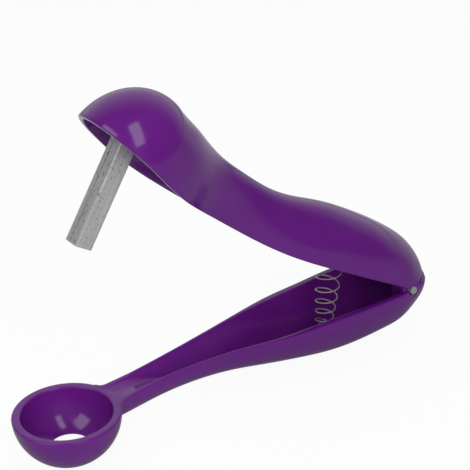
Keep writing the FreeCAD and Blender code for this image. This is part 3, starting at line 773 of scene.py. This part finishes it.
punch = bpy.data.objects["punch"]
for slot in punch.material_slots:
    slot.material = PUNCH_STEEL


# Hinge pin, with its edges broken
pin_outline = (
    (0.0, -PIN_HALF_LENGTH),
    (PIN_RADIUS - PIN_EDGE, -PIN_HALF_LENGTH),
    (PIN_RADIUS, PIN_EDGE - PIN_HALF_LENGTH),
    (PIN_RADIUS, PIN_HALF_LENGTH - PIN_EDGE),
    (PIN_RADIUS - PIN_EDGE, PIN_HALF_LENGTH),
    (0.0, PIN_HALF_LENGTH),
)
pin = turned("hinge_pin_round", pin_outline, (0, 0, 0), ROD_SEGMENTS, "Y")
finish_mesh(pin, LOWER_PLACE)
pin.data.materials.append(PIN_STEEL)
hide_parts("hinge_pin")
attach(pin, "lower_body")

# Return spring: turns, its radius at both ends and the wire, and how its height grows
# with its turns, from closed turns on the lower seat to open ones under the upper lever
SPRING_TURNS = 9.6
SPRING_LOW = 2.5
SPRING_HIGH = 5.6
WIRE_RADIUS = 0.23
SPRING_LIFT = 0.6
SPRING_DROP = 0.02
SPRING_START = math.radians(164.0)
COIL_STEPS = 40
WIRE_STEPS = 12
SPRING_RISE = (
    (0.0, 0.0),
    (0.083, 0.01),
    (0.229, 0.132),
    (0.333, 0.211),
    (0.4375, 0.305),
    (0.5417, 0.406),
    (0.6458, 0.526),
    (0.75, 0.66),
    (0.854, 0.81),
    (0.948, 0.965),
    (1.0, 1.0),
)


def spring_tree():
    """A wire wound about its own upright, wider at the top, its turns spaced by a curve."""
    tree = bpy.data.node_groups.new("wound_wire", "GeometryNodeTree")
    tree.interface.new_socket("Geometry", in_out="OUTPUT", socket_type="NodeSocketGeometry")
    sockets = {}
    for name in ("Turns", "Low Radius", "High Radius", "Length", "Wire Radius"):
        sockets[name] = tree.interface.new_socket(name, in_out="INPUT", socket_type="NodeSocketFloat")
    sockets["Material"] = tree.interface.new_socket(
        "Material", in_out="INPUT", socket_type="NodeSocketMaterial"
    )
    nodes = tree.nodes
    links = tree.links
    given = nodes.new("NodeGroupInput").outputs
    coil = nodes.new("GeometryNodeCurveSpiral")
    coil.inputs["Resolution"].default_value = COIL_STEPS
    coil.inputs["Height"].default_value = 1.0
    coil.inputs["Reverse"].default_value = True
    links.new(given["Turns"], coil.inputs["Rotations"])
    links.new(given["Low Radius"], coil.inputs["Start Radius"])
    links.new(given["High Radius"], coil.inputs["End Radius"])
    split = nodes.new("ShaderNodeSeparateXYZ")
    links.new(nodes.new("GeometryNodeInputPosition").outputs["Position"], split.inputs["Vector"])
    rise = nodes.new("ShaderNodeFloatCurve")
    points = rise.mapping.curves[0].points
    for number, (way, height) in enumerate(SPRING_RISE):
        if number < 2:
            points[number].location = (way, height)
        else:
            points.new(way, height)
    rise.mapping.update()
    links.new(split.outputs["Z"], rise.inputs["Value"])
    grown = nodes.new("ShaderNodeMath")
    grown.operation = "MULTIPLY"
    links.new(rise.outputs["Value"], grown.inputs[0])
    links.new(given["Length"], grown.inputs[1])
    whole = nodes.new("ShaderNodeCombineXYZ")
    links.new(split.outputs["X"], whole.inputs["X"])
    links.new(split.outputs["Y"], whole.inputs["Y"])
    links.new(grown.outputs["Value"], whole.inputs["Z"])
    moved = nodes.new("GeometryNodeSetPosition")
    links.new(coil.outputs["Curve"], moved.inputs["Geometry"])
    links.new(whole.outputs["Vector"], moved.inputs["Position"])
    ring = nodes.new("GeometryNodeCurvePrimitiveCircle")
    ring.inputs["Resolution"].default_value = WIRE_STEPS
    links.new(given["Wire Radius"], ring.inputs["Radius"])
    wire = nodes.new("GeometryNodeCurveToMesh")
    wire.inputs["Fill Caps"].default_value = True
    links.new(moved.outputs["Geometry"], wire.inputs["Curve"])
    links.new(ring.outputs["Curve"], wire.inputs["Profile Curve"])
    real = nodes.new("GeometryNodeRealizeInstances")
    links.new(wire.outputs["Mesh"], real.inputs["Geometry"])
    coat = nodes.new("GeometryNodeSetMaterial")
    links.new(real.outputs["Geometry"], coat.inputs["Geometry"])
    links.new(given["Material"], coat.inputs["Material"])
    links.new(coat.outputs["Geometry"], nodes.new("NodeGroupOutput").inputs["Geometry"])
    return tree, sockets


low_seat = Vector((SPRING_X_LOWER, 0.0, SEAT_LOWER + WIRE_RADIUS + SPRING_LIFT))
high_seat = Vector((SPRING_X_UPPER, 0.0, SEAT_UPPER - WIRE_RADIUS - SPRING_DROP))
start = LOWER_PLACE @ low_seat
end = UPPER_PLACE @ high_seat
spring = object_of("return_spring_wire", bpy.data.meshes.new("return_spring_wire"))
tree, sockets = spring_tree()
wound = spring.modifiers.new("wire", "NODES")
wound.node_group = tree
values = {
    "Turns": SPRING_TURNS,
    "Low Radius": SPRING_LOW * MM,
    "High Radius": SPRING_HIGH * MM,
    "Length": (end - start).length,
    "Wire Radius": WIRE_RADIUS * MM,
    "Material": WIRE_STEEL,
}
for name, value in values.items():
    wound[sockets[name].identifier] = value
ready = spring.evaluated_get(bpy.context.evaluated_depsgraph_get())
mesh = bpy.data.meshes.new_from_object(ready)
spring.modifiers.remove(wound)
spring.data = mesh
upright = Matrix.Translation(start) @ Matrix.Rotation(math.atan2(end.x - start.x, end.z - start.z), 4, "Y")
finish_mesh(spring, upright @ Matrix.Rotation(SPRING_START, 4, "Z"))
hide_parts("return_spring")
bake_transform(spring)

# Camera
CAMERA_PLACE = (-0.29114, -0.434294, 0.342223)
CAMERA_AZIMUTH = -34.216
CAMERA_ELEVATION = 28.356
CAMERA_ROLL = -2.847
CAMERA_LENS = 135.3
CAMERA_SENSOR = 36.0

lens = bpy.data.cameras.new("camera")
lens.sensor_width = CAMERA_SENSOR
lens.lens = CAMERA_LENS
camera = bpy.data.objects.new("camera", lens)
bpy.context.scene.collection.objects.link(camera)
aim = (
    Matrix.Rotation(math.radians(CAMERA_AZIMUTH), 4, "Z")
    @ Matrix.Rotation(math.radians(90.0 - CAMERA_ELEVATION), 4, "X")
    @ Matrix.Rotation(math.radians(CAMERA_ROLL), 4, "Z")
)
camera.matrix_world = Matrix.Translation(CAMERA_PLACE) @ aim
bpy.context.scene.camera = camera
bpy.context.scene.view_settings.view_transform = "Standard"

# Light: two square soft boxes that show in the plastic, and two wide fills that don't
MIDDLE = Vector((-0.02, 0.0, 0.06))


def soft_box(name, azimuth, elevation, distance, size, power, mirrored=True):
    """A square light aimed at the middle of the tool from a heading and a height in degrees."""
    data = bpy.data.lights.new(name, "AREA")
    data.shape = "RECTANGLE"
    data.size, data.size_y = size
    data.energy = power
    made = bpy.data.objects.new(name, data)
    heading = math.radians(azimuth)
    rise = math.radians(elevation)
    away = Vector((math.cos(heading) * math.cos(rise), math.sin(heading) * math.cos(rise), math.sin(rise)))
    made.location = MIDDLE + distance * away
    made.rotation_euler = away.to_track_quat("Z", "Y").to_euler()
    made.visible_glossy = mirrored
    bpy.context.scene.collection.objects.link(made)


soft_box("right_box", -92.0, 57.0, 0.6, (0.16, 0.4), 0.5)
soft_box("left_box", 178.0, 48.0, 0.6, (0.34, 0.34), 0.8)
soft_box("top_fill", 30.0, 75.0, 1.0, (1.0, 1.0), 2.6, False)
soft_box("front_fill", -110.0, 20.0, 1.1, (1.0, 1.0), 12.0, False)

CUP_LIGHT_PLACE = Vector((-0.25, -0.2, 0.35))
CUP_LIGHT_AIM = Vector((-0.066, 0.0, 0.01))
CUP_LIGHT_POWER = 3.6
CUP_LIGHT_DEGREES = 12.0
CUP_LIGHT_BLEND = 0.6
CUP_LIGHT_SIZE = 0.06


def light_on_cup():
    """A narrow light on the cup alone."""
    data = bpy.data.lights.new("cup_light", "SPOT")
    data.energy = CUP_LIGHT_POWER
    data.spot_size = math.radians(CUP_LIGHT_DEGREES)
    data.spot_blend = CUP_LIGHT_BLEND
    data.shadow_soft_size = CUP_LIGHT_SIZE
    made = bpy.data.objects.new("cup_light", data)
    made.location = CUP_LIGHT_PLACE
    made.rotation_euler = (CUP_LIGHT_PLACE - CUP_LIGHT_AIM).to_track_quat("Z", "Y").to_euler()
    made.visible_glossy = False
    bpy.context.scene.collection.objects.link(made)


light_on_cup()

# Room and floor: the way to the back, the shades from front to back (on the floor a painted shade, darker
# in front), and the floor's span
ROOM_BACK = (0.55, 0.83, 0.0)
ROOM_SHADES = ((0.25, (0.1, 0.1, 0.1)), (0.8, (0.75, 0.75, 0.75)))
FLOOR_BACK = (0.2, 0.98, 0.0)
FLOOR_PAINTED_SHADE = ((0.0, (0.4, 0.4, 0.4)), (1.0, (0.9, 0.9, 0.9)))
FLOOR_DARK_TO = 0.02
FLOOR_PALE_FROM = 0.2
FLOOR_SPAN = 3.0
CLOTH_COLOUR = (0.85, 0.85, 0.85, 1)
CLOTH_ROUGHNESS = 0.9
CLOTH_GLOW = 0.93
WHITE = (1, 1, 1, 1)


def shade_for_camera(nodes, links, seen, lit, output):
    """Shows one shader to the camera and another to the light that falls on the tool."""
    path = nodes.new("ShaderNodeLightPath")
    choice = nodes.new("ShaderNodeMixShader")
    links.new(path.outputs["Is Camera Ray"], choice.inputs["Fac"])
    links.new(lit, choice.inputs[1])
    links.new(seen, choice.inputs[2])
    links.new(choice.outputs["Shader"], output.inputs["Surface"])


def far_along(nodes, links, coordinates, direction):
    """How far along a direction each place lies."""
    made = nodes.new("ShaderNodeVectorMath")
    made.operation = "DOT_PRODUCT"
    made.inputs[1].default_value = direction
    links.new(nodes.new("ShaderNodeTexCoord").outputs[coordinates], made.inputs[0])
    return made.outputs["Value"]


def studio_room():
    """A room that is dim in front and bright towards the back, and white to the camera."""
    world = bpy.data.worlds.new("studio")
    world.use_nodes = True
    nodes = world.node_tree.nodes
    links = world.node_tree.links
    room = nodes["Background"]
    room.inputs["Strength"].default_value = 1.0
    back = far_along(nodes, links, "Generated", ROOM_BACK)
    links.new(ramp(nodes, links, back, ROOM_SHADES), room.inputs["Color"])
    white = nodes.new("ShaderNodeBackground")
    white.inputs["Color"].default_value = WHITE
    seen = white.outputs["Background"]
    shade_for_camera(nodes, links, seen, room.outputs["Background"], nodes["World Output"])
    return world


def pale_floor():
    """A floor near white to the camera; to the light its colour carries a painted shade, dark in front and
    pale behind.
    """
    made, nodes, links = material("pale_floor")
    cloth = nodes["Principled BSDF"]
    cloth.inputs["Roughness"].default_value = CLOTH_ROUGHNESS
    cloth.inputs["Base Color"].default_value = CLOTH_COLOUR
    bright = nodes.new("ShaderNodeEmission")
    bright.inputs["Color"].default_value = WHITE
    soft = nodes.new("ShaderNodeMixShader")
    soft.inputs["Fac"].default_value = CLOTH_GLOW
    links.new(cloth.outputs["BSDF"], soft.inputs[1])
    links.new(bright.outputs["Emission"], soft.inputs[2])
    way = nodes.new("ShaderNodeMapRange")
    way.inputs["From Min"].default_value = FLOOR_DARK_TO
    way.inputs["From Max"].default_value = FLOOR_PALE_FROM
    links.new(far_along(nodes, links, "Object", FLOOR_BACK), way.inputs["Value"])
    # painted shade: the floor's colour as the light sees it darkens towards the front, standing in for
    # less light falling there
    painted_shade = nodes.new("ShaderNodeBsdfDiffuse")
    links.new(ramp(nodes, links, way.outputs["Result"], FLOOR_PAINTED_SHADE), painted_shade.inputs["Color"])
    seen = soft.outputs["Shader"]
    shade_for_camera(nodes, links, seen, painted_shade.outputs["BSDF"], nodes["Material Output"])
    return made


bpy.context.scene.world = studio_room()

floor_mesh = bpy.data.meshes.new("floor")
corners = []
for across, back in ((-1, -1), (1, -1), (1, 1), (-1, 1)):
    corners.append((across * FLOOR_SPAN, back * FLOOR_SPAN, 0))
floor_mesh.from_pydata(corners, [], [(0, 1, 2, 3)])
floor = object_of("floor", floor_mesh)
floor.data.materials.append(pale_floor())
